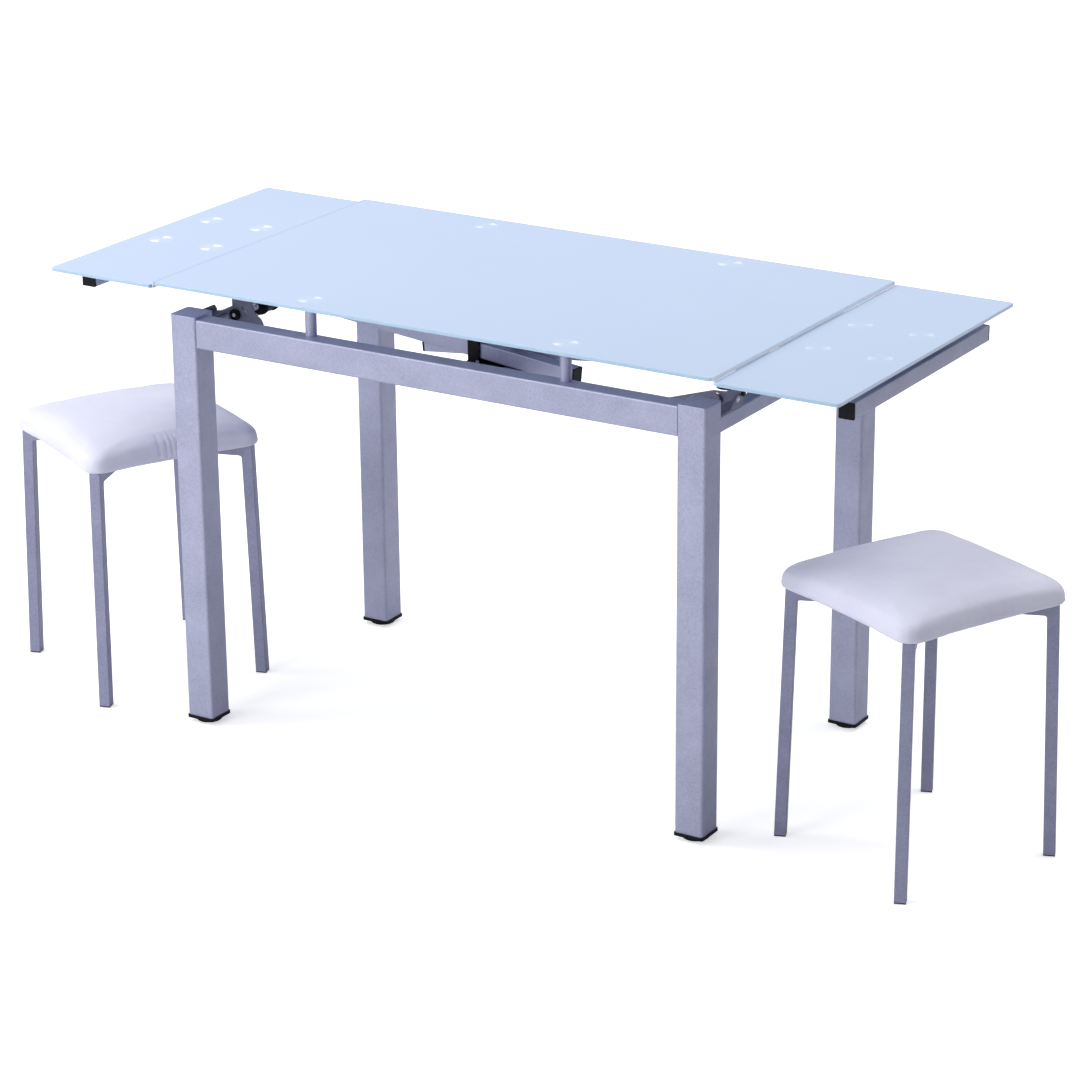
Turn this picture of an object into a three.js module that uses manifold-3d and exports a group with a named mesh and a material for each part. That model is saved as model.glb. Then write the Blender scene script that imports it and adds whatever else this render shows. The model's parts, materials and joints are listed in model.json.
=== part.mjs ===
import * as THREE from 'three';
import { mergeVertices } from 'three/addons/utils/BufferGeometryUtils.js';
import Module from 'manifold-3d';

const wasm = await Module();
wasm.setup();

// Everything is in millimetres, with Z up, the table's middle above the zero point and its front
// towards -Y. The leaves are drawn out and lie one glass thickness low, ready to slide in.

// Glass top.
const table_length = 1417;
const table_depth = 596;
const table_height = 750;
const centre_length = 1006;
const seam = 2.5;
const glass_thick = 5.5;
const glass_corner = 6;
const glass_edge_round = 0.8;
const running_gap = 0.3;
const leaf_length = (table_length - centre_length) / 2 - seam;
const leaf_drop = glass_thick + running_gap;
const glass_underside = table_height - glass_thick;
const leaf_underside = glass_underside - leaf_drop;

// Legs, their feet and the four rails.
const glass_overhang_x = 18.5;
const glass_overhang_y = 17.5;
const leg_width = 48.5;
const leg_corner = 4;
const tube_wall = 2;
const leg_top_below_glass = 54;
const glide_height = 6;
const glide_radius = 21.5;
const glide_edge = 1.5;
const stem_radius = 4;
const stem_top = 34;
const flange_width = 51.5;
const flange_thick = 5;
const plug_height = 18;
const leg_foot = glide_height + flange_thick;
const rail_set_back = 2;
const rail_width = 34;
const rail_below_leg_top = 4;
const rail_height = 47;
const end_rail_width = 24;
const end_rail_height = 25;
const rail_corner = 2.5;
const legs_span_x = centre_length - 2 * glass_overhang_x;
const legs_span_y = table_depth - 2 * glass_overhang_y;
const leg_top = table_height - leg_top_below_glass;
const rail_top = leg_top - rail_below_leg_top;
const rail_bottom = rail_top - rail_height;
const end_rail_top = rail_bottom + end_rail_height;
const rail_length_half = legs_span_x / 2 - leg_width;
const rail_outer_y = legs_span_y / 2 - rail_set_back;
const rail_inner_y = rail_outer_y - rail_width;
const end_rail_outer_x = legs_span_x / 2 - rail_set_back;
const end_rail_inner_x = end_rail_outer_x - end_rail_width;

// Posts that carry the middle glass.
const post_x = 231;
const post_radius = 9;
const post_from_rail_edge = 0.5;
const disc_radius = 21;
const disc_thick = 3;
const post_y = rail_inner_y + post_from_rail_edge + post_radius;

// Pressed cross channel under the middle of the table.
const channel_width = 104;
const channel_below_arm = 8.9;
const channel_flange = 14;
const channel_sheet = 2.5;
const channel_rise_length = 48.5;
const channel_end_lift = 8;
const channel_tab_below_rail_top = 6;
const channel_level_y = rail_inner_y - channel_rise_length;
const channel_end_z = rail_bottom + channel_end_lift;
const channel_tab_top = rail_top - channel_tab_below_rail_top;

// Sloping arms of the leaves.
const arm_width = 25;
const arm_wall = 2;
const arm_corner = 2;
const arm_inner_end = 152;
const arm_front_y = -86.5;
const arm_rear_y = 52.5;
const arm_cap_thick = 3;
const cap_plug_length = 9;
const pad_radius = 20;
const pad_y = 69.5;
const pad_spacing = 102.6;
const pad_from_edge = 48.9;
const outer_pad_thick = 3.2;
const pad_outer_x = table_length / 2 - pad_from_edge;
const pad_inner_x = pad_outer_x - pad_spacing;

// Cross bar that joins the outer ends of a pair of arms.
const end_bar_from_edge = 9.5;
const end_bar_width = 25.5;
const end_bar_below_arm = 12.5;
const end_bar_half = 226;
const bar_cap_thick = 3;
const end_bar_outer_x = table_length / 2 - end_bar_from_edge;
const end_bar_inner_x = end_bar_outer_x - end_bar_width;

// Black guides that the arms pass through near the middle.
const guide_inner_x = 20;
const guide_length = 20;
const guide_wall = 3.9;
const guide_clearance = 0.6;
const guide_flange_thick = 5;
const guide_flange_reach = 16.5;
const guide_flange_lip = 3;
const guide_screw_radius = 2.6;

// End brackets and the roller shafts between them. At each end of the table one bracket is a plain
// hook and the other a long lever. Their outlines are measured from the end rail's outer face and top.
const roller_from_rail = 18.5;
const axle_above_rail = 3;
const roller_radius = 15;
const roller_flange_radius = 17.5;
const roller_flange_thick = 3;
const roller_side_gap = 0.5;
const hub_radius = 6.5;
const hub_reach = 26;
const collar_width = 4;
const axle_radius = 3.5;
const axle_hole_gap = 0.4;
const running_fit = 0.1;
const axle_head_thick = 4;
const cheek_thick = 3;
const cheek_from_leg = 67;
const bracket_sheet = 3;
const bracket_leg_gap = 4;
const bracket_base_width = 21.5;
const bracket_heel = 3;
const hook_wall_height = 13.4;
const hook_wall_slant = 5;
const lever_wall_height = 19;
const lever_wall_length = 44;
const lever_wall_slant = 24;
const hook_outline = [
  [2.5, 0], [2.5, 3], [19.5, 6], [35.5, 16], [35.5, 34], [67.5, 34], [81, 7], [89.5, 2], [94.5, -6],
  [94.5, -18], [90.5, -22], [52.5, -22], [27, -15], [27, 0],
];
const hook_mark = [[52.3, 15.6], [62.9, 4.8], [65.5, 7.4], [54.9, 18.2]];
const lever_outline = [
  [0, 0], [0, 30], [4.5, 34], [14.5, 34], [19, 26], [21.5, 18.5], [26.5, 16.5], [50.5, 15],
  [133.5, -11], [141.5, -18], [139.5, -24], [132.5, -25], [52.5, -22], [27, -15], [27, 0],
];
const roller_x = end_rail_inner_x - roller_from_rail;
const leg_inner_y = legs_span_y / 2 - leg_width;
const cheek_y = leg_inner_y - cheek_from_leg;

// Slope and heights of the arms. They rest on the rollers and rise to just under the leaf's outer
// pads. The bars and the channel follow them.
const axle_height = end_rail_top + axle_above_rail;
const arm_top_at_roller = axle_height + roller_radius + running_gap + arm_width;
const arm_rise = leaf_underside - outer_pad_thick - arm_top_at_roller;
const arm_slope = arm_rise / (pad_outer_x - roller_x);
const arm_angle = Math.atan(arm_slope);
const arm_height = arm_width / Math.cos(arm_angle);
const arm_bottom_at_roller = axle_height + (roller_radius + running_gap) / Math.cos(arm_angle);
const arm_top_at_middle = arm_bottom_at_roller + arm_height - roller_x * arm_slope;
const end_bar_top = arm_top_at_middle + end_bar_inner_x * arm_slope - end_bar_below_arm;
const channel_top = arm_top_at_middle - arm_height - channel_below_arm;

// Stools.
const stool_tube = 18;
const stool_foot_reach = 214;
const stool_top_reach = 203;
const stool_frame_top = 406;
const stool_inner_fillet = 5;
const stool_wall = 1.5;
const stool_foot_thick = 2.5;
const stool_hole_radius = 3;
const seat_half = 157;
const seat_corner = 30;
const seat_draw_in = 5;
const seat_thick = 49;
const seat_side_fall = 11.5;
const seat_corner_fall = 5;
const seat_shoulder = 13;
const seat_shoulder_height = 11;
const seat_lower_tuck = 4;
const board_thick = 8;
const board_half = 138;
const board_corner = 22;
const seat_crown_top = stool_frame_top + seat_thick;
const right_stool_beyond = 52;
const right_stool_y = -112.4;
const right_stool_turn = THREE.MathUtils.degToRad(-24.6);
const left_stool_within = 6.8;
const left_stool_y = -103.6;
const left_stool_turn = THREE.MathUtils.degToRad(-27.7);
const right_stool_x = table_length / 2 + right_stool_beyond;
const left_stool_x = left_stool_within - table_length / 2;

// How finely curves are cut up, and how close two corners are to count as one.
const corner_steps = 3;
const round_steps = 20;
const weld_distance = 1e-4;

// One material for each finish.
function finish(name, colour, metalness, roughness) {
  const material = new THREE.MeshStandardMaterial({ color: colour, metalness, roughness });
  material.name = name;
  return material;
}
const finishes = {
  coated_steel: () => finish('coated_steel', 0xb4b5bf, 0.6, 0.4),
  zinc_steel: () => finish('zinc_steel', 0xc4c6ca, 0.9, 0.35),
  frosted_glass: () => finish('frosted_glass', 0xd6e6f2, 0, 0.3),
  black_plastic: () => finish('black_plastic', 0x18181c, 0, 0.6),
  white_leather: () => finish('white_leather', 0xeeeeee, 0, 0.5),
  seat_board: () => finish('seat_board', 0x8a7358, 0, 0.8),
};

// Makes a solid that can be joined and cut out of a plain geometry.
function solid_of(geometry) {
  const bare = new THREE.BufferGeometry();
  bare.setAttribute('position', geometry.getAttribute('position'));
  if (geometry.index) bare.setIndex(geometry.index);
  const joined = mergeVertices(bare, weld_distance);
  const corners = new Float32Array(joined.getAttribute('position').array);
  const faces = new Uint32Array(joined.index.array);
  return new wasm.Manifold(new wasm.Mesh({ numProp: 3, vertProperties: corners, triVerts: faces }));
}

// Gives a solid its name and finish.
function node(name, solid, finish_name) {
  const shape = solid.getMesh();
  const geometry = new THREE.BufferGeometry();
  const corners = new THREE.BufferAttribute(new Float32Array(shape.vertProperties), 3);
  geometry.setAttribute('position', corners);
  geometry.setIndex(Array.from(shape.triVerts));
  geometry.computeVertexNormals();
  const mesh = new THREE.Mesh(geometry, finishes[finish_name]());
  mesh.name = name;
  return mesh;
}

// Outline of a rectangle with rounded corners, given by its two corners.
function rectangle(low_a, low_b, high_a, high_b, radius, target = new THREE.Shape()) {
  if (radius === 0) {
    target.moveTo(low_a, low_b).lineTo(high_a, low_b).lineTo(high_a, high_b).lineTo(low_a, high_b);
    return target;
  }
  const quarter = Math.PI / 2;
  target.absarc(high_a - radius, low_b + radius, radius, -quarter, 0, false);
  target.absarc(high_a - radius, high_b - radius, radius, 0, quarter, false);
  target.absarc(low_a + radius, high_b - radius, radius, quarter, Math.PI, false);
  target.absarc(low_a + radius, low_b + radius, radius, Math.PI, 3 * quarter, false);
  return target;
}

// Outline of a hollow rectangular tube.
function tube_outline(low_a, low_b, high_a, high_b, wall, radius) {
  const outline = rectangle(low_a, low_b, high_a, high_b, radius);
  const inside = Math.max(radius - wall, radius / 4);
  const [near, below, far, above] = [low_a + wall, low_b + wall, high_a - wall, high_b - wall];
  outline.holes.push(rectangle(near, below, far, above, inside, new THREE.Path()));
  return outline;
}

// Outline through a list of corner points.
function polygon(points) {
  return new THREE.Shape(points.map(([a, b]) => new THREE.Vector2(a, b)));
}

function circle(a, b, radius, target = new THREE.Shape()) {
  target.absarc(a, b, radius, 0, 2 * Math.PI, false);
  return target;
}

// Runs an outline from one station to another. Along x the outline lies in (y, z), along y in
// (x, z) and along z in (x, y).
function run(axis, outline, from, to, steps = corner_steps) {
  const depth = to - from;
  const options = { depth, bevelEnabled: false, curveSegments: steps };
  const geometry = new THREE.ExtrudeGeometry(outline, options);
  const x = new THREE.Vector3(1, 0, 0);
  const y = new THREE.Vector3(0, 1, 0);
  const z = new THREE.Vector3(0, 0, 1);
  if (axis === 'x') geometry.applyMatrix4(new THREE.Matrix4().makeBasis(y, z, x)).translate(from, 0, 0);
  if (axis === 'y') {
    geometry.applyMatrix4(new THREE.Matrix4().makeBasis(x, z, y.negate())).translate(0, to, 0);
  }
  if (axis === 'z') geometry.translate(0, 0, from);
  return solid_of(geometry);
}

function rod(axis, a, b, radius, from, to) {
  return run(axis, circle(a, b, radius), from, to, round_steps);
}

// Turns a profile of (radius, height) pairs about the upright axis.
function turned(profile) {
  const points = profile.map(([radius, height]) => new THREE.Vector2(radius, height));
  return solid_of(new THREE.LatheGeometry(points, round_steps).rotateX(Math.PI / 2));
}

function block(low, high) {
  return run('z', rectangle(low[0], low[1], high[0], high[1], 0), low[2], high[2]);
}

// Turns a left-hand solid half a turn about the upright axis to make its right-hand twin.
function to_side(solid, side) {
  return side === 'left' ? solid : solid.rotate([0, 0, 180]);
}

// One leg: a square tube with a closed top.
function leg(sign_x, sign_y) {
  const outer_x = legs_span_x / 2;
  const outer_y = legs_span_y / 2;
  const low_x = sign_x > 0 ? outer_x - leg_width : -outer_x;
  const low_y = sign_y > 0 ? outer_y - leg_width : -outer_y;
  const high_x = low_x + leg_width;
  const high_y = low_y + leg_width;
  const lid_from = leg_top - tube_wall;
  const walls = tube_outline(low_x, low_y, high_x, high_y, tube_wall, leg_corner);
  const tube = run('z', walls, leg_foot, leg_top);
  const lid = run('z', rectangle(low_x, low_y, high_x, high_y, leg_corner), lid_from, leg_top);
  return tube.add(lid);
}

function leg_middle(sign_x, sign_y) {
  return [sign_x * (legs_span_x - leg_width) / 2, sign_y * (legs_span_y - leg_width) / 2];
}

// Black square end piece pushed into the foot of a leg, with a hole for the glide's stem.
function foot_plug(sign_x, sign_y) {
  const [x, y] = leg_middle(sign_x, sign_y);
  const half = flange_width / 2;
  const plug_half = leg_width / 2 - tube_wall - running_gap;
  const flange_shape = rectangle(x - half, y - half, x + half, y + half, leg_corner);
  const flange = run('z', flange_shape, glide_height, leg_foot);
  const plug_shape = rectangle(x - plug_half, y - plug_half, x + plug_half, y + plug_half, leg_corner);
  const plug = run('z', plug_shape, leg_foot - glass_edge_round, leg_foot + plug_height);
  const hole = rod('z', x, y, stem_radius + axle_hole_gap, 0, leg_foot + 2 * plug_height);
  return flange.add(plug).subtract(hole);
}

// Levelling glide: a turned disc with a threaded stem.
function glide(sign_x, sign_y) {
  const [x, y] = leg_middle(sign_x, sign_y);
  const profile = [
    [0, 0], [glide_radius - glide_edge, 0], [glide_radius, glide_edge],
    [glide_radius, glide_height - glide_edge / 2], [glide_radius - glide_edge / 2, glide_height],
    [stem_radius, glide_height], [stem_radius, stem_top], [0, stem_top],
  ];
  return turned(profile).translate([x, y, 0]);
}

// Long rail between two legs, front or rear.
function long_rail(sign_y) {
  const low = sign_y > 0 ? rail_inner_y : -rail_outer_y;
  const outline = tube_outline(low, rail_bottom, low + rail_width, rail_top, tube_wall, rail_corner);
  return run('x', outline, -rail_length_half, rail_length_half);
}

// Shallow rail between the two legs of one end.
function end_rail(sign_x) {
  const low = sign_x > 0 ? end_rail_inner_x : -end_rail_outer_x;
  const reach = legs_span_y / 2 - leg_width;
  const high = low + end_rail_width;
  const outline = tube_outline(low, rail_bottom, high, end_rail_top, tube_wall, rail_corner);
  return run('y', outline, -reach, reach);
}

// Side view of the cross channel: level in the middle, rising to the rails at both ends.
function channel_side(offset, end_offset) {
  const top = channel_top - offset;
  const end_top = channel_end_z - offset;
  const bottom = channel_top - channel_flange;
  const end_bottom = channel_end_z - channel_flange;
  const reach = rail_inner_y - end_offset;
  return polygon([
    [-reach, end_bottom], [-channel_level_y, bottom], [channel_level_y, bottom], [reach, end_bottom],
    [reach, end_top], [channel_level_y, top], [-channel_level_y, top], [-reach, end_top],
  ]);
}

// Pressed cross channel that carries the guides, screwed to the rails by its turned-up ends.
function cross_channel() {
  const half = channel_width / 2;
  let channel = run('x', channel_side(0, 0), -half, half);
  const drop = new THREE.Vector3(0, 0, -channel_sheet).toArray();
  const inner = run('x', channel_side(0, -channel_sheet), channel_sheet - half, half - channel_sheet);
  channel = channel.subtract(inner.translate(drop));
  for (const sign of [-1, 1]) {
    const low_y = sign > 0 ? rail_inner_y - channel_sheet : -rail_inner_y;
    const low = [-half, low_y, channel_end_z - channel_flange];
    channel = channel.add(block(low, [half, low_y + channel_sheet, channel_tab_top]));
  }
  return channel;
}

// Post on a rail with the disc that is bonded to the glass.
function post(sign_x, sign_y) {
  const disc_from = glass_underside - disc_thick;
  const profile = [
    [0, rail_top], [post_radius, rail_top], [post_radius, disc_from], [disc_radius, disc_from],
    [disc_radius, glass_underside], [0, glass_underside],
  ];
  return turned(profile).translate([sign_x * post_x, sign_y * post_y, 0]);
}

// Sheet of glass with rounded corners and softened edges.
function sheet(low_x, high_x, underside) {
  const round = glass_edge_round;
  const half = table_depth / 2 - round;
  const outline = rectangle(low_x + round, -half, high_x - round, half, glass_corner);
  const geometry = new THREE.ExtrudeGeometry(outline, {
    depth: glass_thick - 2 * round, bevelEnabled: true, bevelThickness: round, bevelSize: round,
    bevelSegments: 2, curveSegments: corner_steps,
  });
  return solid_of(geometry.translate(0, 0, underside + round));
}

function leaf_glass() {
  const inner = centre_length / 2 + seam;
  return sheet(-inner - leaf_length, -inner, leaf_underside);
}

// Height of an arm's top face at a place along the table, for the left leaf.
function arm_top(x) {
  return arm_top_at_middle - x * arm_slope;
}

// Puts a solid made along the x axis from zero, top face at zero, onto the line of an arm.
function on_arm_line(solid, y) {
  const tilt = THREE.MathUtils.radToDeg(arm_angle);
  return solid.rotate([0, tilt, 0]).translate([0, y, arm_top_at_middle]);
}

function arm_tube(y) {
  const inner_end = arm_inner_end / Math.cos(arm_angle) - arm_cap_thick - running_gap;
  const outer_end = -end_bar_outer_x / Math.cos(arm_angle);
  const half = arm_width / 2;
  const outline = tube_outline(-half, -arm_width, half, 0, arm_wall, arm_corner);
  return on_arm_line(run('x', outline, outer_end, inner_end), y);
}

// Spacer between an arm and the leaf's glass. It is longer where the arm has dropped away.
function bond_pad(x, y) {
  return rod('z', -x, y, pad_radius, arm_top(-x) - arm_slope * pad_radius, leaf_underside);
}

// Sloping arm of the left leaf with its two bond pads.
function arm(y) {
  const sign = Math.sign(y);
  const beyond = [-table_length, -table_depth, 0];
  const cut = block(beyond, [-end_bar_inner_x, table_depth, table_height]);
  const core_half = arm_width / 2 - arm_wall;
  const core_outline = rectangle(-core_half, -arm_width + arm_wall, core_half, -arm_wall, arm_corner / 4);
  const core = on_arm_line(run('x', core_outline, -table_length, table_length), y);
  const pads = bond_pad(pad_inner_x, sign * pad_y).add(bond_pad(pad_outer_x, sign * pad_y));
  return arm_tube(y).add(pads).subtract(core).subtract(cut);
}

// Black cap in the inner end of an arm.
function arm_cap(y) {
  const end = arm_inner_end / Math.cos(arm_angle);
  const half = arm_width / 2;
  const inset = arm_wall + running_gap;
  const plate = run('x', rectangle(-half, -arm_width, half, 0, arm_corner), end - arm_cap_thick, end);
  const plug_shape = rectangle(inset - half, inset - arm_width, half - inset, -inset, arm_corner / 4);
  const plug = run('x', plug_shape, end - arm_cap_thick - cap_plug_length, end - arm_cap_thick / 2);
  return on_arm_line(plate.add(plug), y);
}

// Cross bar under the outer edge of the left leaf.
function end_bar() {
  const bottom = end_bar_top - end_bar_width;
  const low = -end_bar_outer_x;
  const outline = tube_outline(low, bottom, low + end_bar_width, end_bar_top, arm_wall, arm_corner);
  return run('y', outline, -end_bar_half, end_bar_half);
}

function bar_cap(sign_y) {
  const bottom = end_bar_top - end_bar_width;
  const low = -end_bar_outer_x;
  const inset = arm_wall + running_gap;
  const high = low + end_bar_width;
  const face = end_bar_half + bar_cap_thick;
  const inside = end_bar_half - cap_plug_length;
  const span = (a, b) => (sign_y > 0 ? [a, b] : [-b, -a]);
  const plate_shape = rectangle(low, bottom, high, end_bar_top, arm_corner);
  const plate = run('y', plate_shape, ...span(end_bar_half, face));
  const plug_top = end_bar_top - inset;
  const plug_shape = rectangle(low + inset, bottom + inset, high - inset, plug_top, arm_corner / 4);
  return plate.add(run('y', plug_shape, ...span(inside, face - bar_cap_thick / 2)));
}

// L-shaped black guide round a left arm, with room above the arm for the leaf to be raised.
function guide(y) {
  const half = arm_width / 2 + guide_clearance + guide_wall;
  const hole_half = arm_width / 2 + guide_clearance;
  const low_x = -guide_inner_x - guide_length;
  const hole_top = arm_top(low_x) + leaf_drop + guide_clearance;
  const hole_bottom = arm_top(-guide_inner_x) - arm_height - guide_clearance;
  const foot_low = [low_x - guide_flange_lip, y - half, channel_top];
  const foot_high = [guide_flange_reach, y + half, channel_top + guide_flange_thick];
  const body = block([low_x, y - half, channel_top], [-guide_inner_x, y + half, hole_top + guide_wall]);
  const screw_x = guide_flange_reach - 2 * guide_wall;
  const screw_hole = rod('z', screw_x, y, guide_screw_radius, 0, table_height);
  const low = [low_x - guide_length, y - hole_half, hole_bottom];
  const hole = block(low, [0, y + hole_half, hole_top]);
  return body.add(block(foot_low, foot_high)).subtract(hole).subtract(screw_hole);
}

// Upright side of a bracket for the left end, with an upright slot for the roller shaft.
function cheek(points, sign_y) {
  const place_point = ([inward, height]) => [inward - end_rail_outer_x, end_rail_top + height];
  const outline = polygon(points.map(place_point));
  const radius = axle_radius + axle_hole_gap;
  const slot = new THREE.Path();
  slot.absarc(-roller_x, axle_height + leaf_drop, radius, 0, Math.PI, false);
  slot.absarc(-roller_x, axle_height, radius, Math.PI, 2 * Math.PI, false);
  outline.holes.push(slot);
  if (sign_y < 0) {
    outline.holes.push(new THREE.Path(hook_mark.map((p) => new THREE.Vector2(...place_point(p)))));
  }
  const middle = sign_y * cheek_y;
  return run('y', outline, middle - cheek_thick / 2, middle + cheek_thick / 2, 2 * corner_steps);
}

// Low wall of a bracket along the outer edge of the end rail. It is drawn for the rear bracket, with
// distances from the leg, and turned over for the front one.
function bracket_wall(points, sign_y) {
  const outline = polygon(points.map(([away, up]) => [sign_y * (leg_inner_y - away), end_rail_top + up]));
  return run('x', outline, -end_rail_outer_x, bracket_sheet - end_rail_outer_x);
}

// End bracket: a base plate on the end rail, an outer wall and a cheek that carries the shaft. The
// front one is the hook, the rear one the lever.
function bracket(sign_y) {
  const inner = leg_inner_y - cheek_y + cheek_thick / 2;
  const hook_wall = [
    [bracket_leg_gap, 0], [inner, 0], [inner, hook_wall_height / 2],
    [inner - hook_wall_slant, hook_wall_height], [bracket_leg_gap, hook_wall_height],
  ];
  const lever_from = inner - lever_wall_length;
  const lever_wall = [
    [lever_from, 0], [inner, 0], [inner, lever_wall_height],
    [lever_from + lever_wall_slant, lever_wall_height],
  ];
  const near = sign_y * (cheek_y - cheek_thick / 2);
  const far = sign_y * (leg_inner_y - bracket_leg_gap);
  const base_low = [-end_rail_outer_x, Math.min(near, far), end_rail_top];
  const base_inner = bracket_base_width - end_rail_outer_x;
  const base_high = [base_inner, Math.max(near, far), end_rail_top + bracket_sheet];
  const wall = bracket_wall(sign_y < 0 ? hook_wall : lever_wall, sign_y);
  return block(base_low, base_high).add(wall).add(cheek(sign_y < 0 ? hook_outline : lever_outline, sign_y));
}

// Roller under an arm, with a flange on each side of the arm and a hub on the shaft.
function roller(y) {
  const inside = arm_width / 2 + roller_side_gap;
  const outside = inside + roller_flange_thick;
  const bore = axle_radius + running_fit;
  const half = [
    [roller_radius, inside], [roller_flange_radius, inside], [roller_flange_radius, outside],
    [hub_radius, outside], [hub_radius, hub_reach], [bore, hub_reach],
  ];
  const mirrored = half.map(([radius, station]) => [radius, -station]).reverse();
  const profile = [...mirrored, ...half, mirrored[0]];
  return turned(profile).rotate([-90, 0, 0]).translate([-roller_x, y, axle_height]);
}

// Shaft through the slots of both brackets, with a head at each end and collars beside the rollers.
function shaft() {
  const outer_face = cheek_y + cheek_thick / 2 + running_gap;
  const end = outer_face + axle_head_thick;
  const profile = [[0, -end], [hub_radius, -end], [hub_radius, -outer_face], [axle_radius, -outer_face]];
  for (const y of [arm_front_y, arm_rear_y]) {
    for (const sign of [-1, 1]) {
      const middle = y + sign * (hub_reach + roller_side_gap + collar_width / 2);
      const from = middle - collar_width / 2;
      const to = middle + collar_width / 2;
      profile.push([axle_radius, from], [hub_radius, from], [hub_radius, to], [axle_radius, to]);
    }
  }
  profile.push([axle_radius, outer_face], [hub_radius, outer_face], [hub_radius, end], [0, end]);
  return turned(profile).rotate([-90, 0, 0]).translate([-roller_x, 0, axle_height]);
}

// Upturned U through the stool's middle. The inset makes the smaller U that hollows the tube out.
function stool_u(inset) {
  const lean = Math.atan2(stool_foot_reach - stool_top_reach, stool_frame_top);
  const side = inset / Math.cos(lean);
  const inner_foot = stool_foot_reach - stool_tube / Math.cos(lean) + side;
  const outer_foot = stool_foot_reach - side;
  const top = stool_frame_top - inset;
  const bar_bottom = stool_frame_top - stool_tube + inset;
  const inner_at = (z) => inner_foot - z * Math.tan(lean);
  const outer_top = outer_foot - top * Math.tan(lean);
  const corner = inner_at(bar_bottom);
  const low = bar_bottom - stool_inner_fillet;
  const outline = new THREE.Shape();
  outline.moveTo(-outer_foot, 0).lineTo(-inner_foot, 0).lineTo(-inner_at(low), low);
  outline.quadraticCurveTo(-corner, bar_bottom, stool_inner_fillet - corner, bar_bottom);
  outline.lineTo(corner - stool_inner_fillet, bar_bottom);
  outline.quadraticCurveTo(corner, bar_bottom, inner_at(low), low);
  outline.lineTo(inner_foot, 0).lineTo(outer_foot, 0).lineTo(outer_top, top).lineTo(-outer_top, top);
  return run('y', outline, inset - stool_tube / 2, stool_tube / 2 - inset, corner_steps);
}

// X-shaped stool frame: two upturned U-shaped tubes that cross under the seat. Their feet are closed,
// and a hole under the crossing lets in the screw that holds the seat.
function stool_frame() {
  const outside = stool_u(0);
  const inside = stool_u(stool_wall);
  const crossed = (solid) => solid.rotate([0, 0, 45]).add(solid.rotate([0, 0, -45]));
  const reach = [stool_foot_reach, stool_foot_reach, stool_foot_thick];
  const feet = block([-reach[0], -reach[1], -reach[2]], reach);
  const hole = rod('z', 0, 0, stool_hole_radius, 0, stool_frame_top - stool_tube / 2);
  return crossed(outside).subtract(crossed(inside).subtract(feet)).subtract(hole);
}

function seat_board() {
  const half = board_half;
  const outline = rectangle(-half, -half, half, half, board_corner);
  return run('z', outline, stool_frame_top, stool_frame_top + board_thick);
}

// Outline of the cushion at one level: a rounded square with its sides drawn in.
function seat_ring(half, corner, draw_in) {
  const side_steps = 8;
  const ring = [];
  const straight = half - corner;
  for (let side = 0; side < 4; side += 1) {
    const turn = side * Math.PI / 2;
    for (let i = 0; i < side_steps; i += 1) {
      const along = straight * (2 * i / side_steps - 1);
      const out = half - draw_in * (1 - (along / straight) ** 2);
      ring.push(new THREE.Vector2(out, along).rotateAround(new THREE.Vector2(), turn));
    }
    for (let i = 0; i < corner_steps + 2; i += 1) {
      const angle = i / (corner_steps + 2) * Math.PI / 2;
      const point = new THREE.Vector2(corner, 0).rotateAround(new THREE.Vector2(), angle);
      ring.push(point.addScalar(straight).rotateAround(new THREE.Vector2(), turn));
    }
  }
  return ring;
}

// Height of the cushion's domed top above a point of the seat.
function seat_top([x, y]) {
  const [along, across] = [(x / seat_half) ** 2, (y / seat_half) ** 2];
  return seat_crown_top - seat_side_fall * (along + across) - seat_corner_fall * along * across;
}

// Rings of the cushion from its lower edge over the rounded shoulder to its crown.
function seat_rings() {
  const outline = seat_ring(seat_half, seat_corner, seat_draw_in);
  const inset = (inward) => outline.map((p) => p.clone().multiplyScalar(1 - inward / p.length()).toArray());
  const low = stool_frame_top + running_gap;
  const quarter = Math.PI / 2;
  const rings = [];
  for (const share of [0, 1 / 2, 1]) {
    const bend = share * quarter;
    const z = low + seat_lower_tuck * (1 - Math.cos(bend));
    rings.push(inset(seat_lower_tuck * (1 - Math.sin(bend))).map(([x, y]) => [x, y, z]));
  }
  const shoulder_tops = inset(seat_shoulder).map(seat_top);
  for (const share of [0, 1 / 3, 2 / 3]) {
    const inward = seat_shoulder * (1 - Math.cos(share * quarter));
    const below = seat_shoulder_height * (1 - Math.sin(share * quarter));
    rings.push(inset(inward).map(([x, y], i) => [x, y, shoulder_tops[i] - below]));
  }
  const crown_steps = 6;
  for (let i = 0; i < crown_steps; i += 1) {
    const scale = 1 - i / crown_steps;
    const points = inset(seat_shoulder).map(([x, y]) => [x * scale, y * scale]);
    rings.push(points.map((p) => [...p, seat_top(p)]));
  }
  return rings;
}

// Padded square cushion with a domed top, hollowed below for the seat board.
function cushion() {
  const rings = seat_rings();
  const count = rings[0].length;
  const ends = [0, 0, seat_crown_top, 0, 0, stool_frame_top + running_gap];
  const points = rings.flat().flat().concat(ends);
  const crown = rings.length * count;
  const faces = [];
  for (let i = 0; i < count; i += 1) {
    const next = (i + 1) % count;
    for (let level = 0; level + 1 < rings.length; level += 1) {
      const low = level * count;
      const high = low + count;
      faces.push(low + i, low + next, high + next, low + i, high + next, high + i);
    }
    const last = crown - count;
    faces.push(last + i, last + next, crown, next, i, crown + 1);
  }
  const geometry = new THREE.BufferGeometry();
  geometry.setAttribute('position', new THREE.Float32BufferAttribute(points, 3));
  geometry.setIndex(faces);
  const half = board_half + running_gap;
  const recess_shape = rectangle(-half, -half, half, half, board_corner);
  const recess = run('z', recess_shape, 0, stool_frame_top + board_thick + running_gap);
  return solid_of(geometry).subtract(recess);
}

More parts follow.
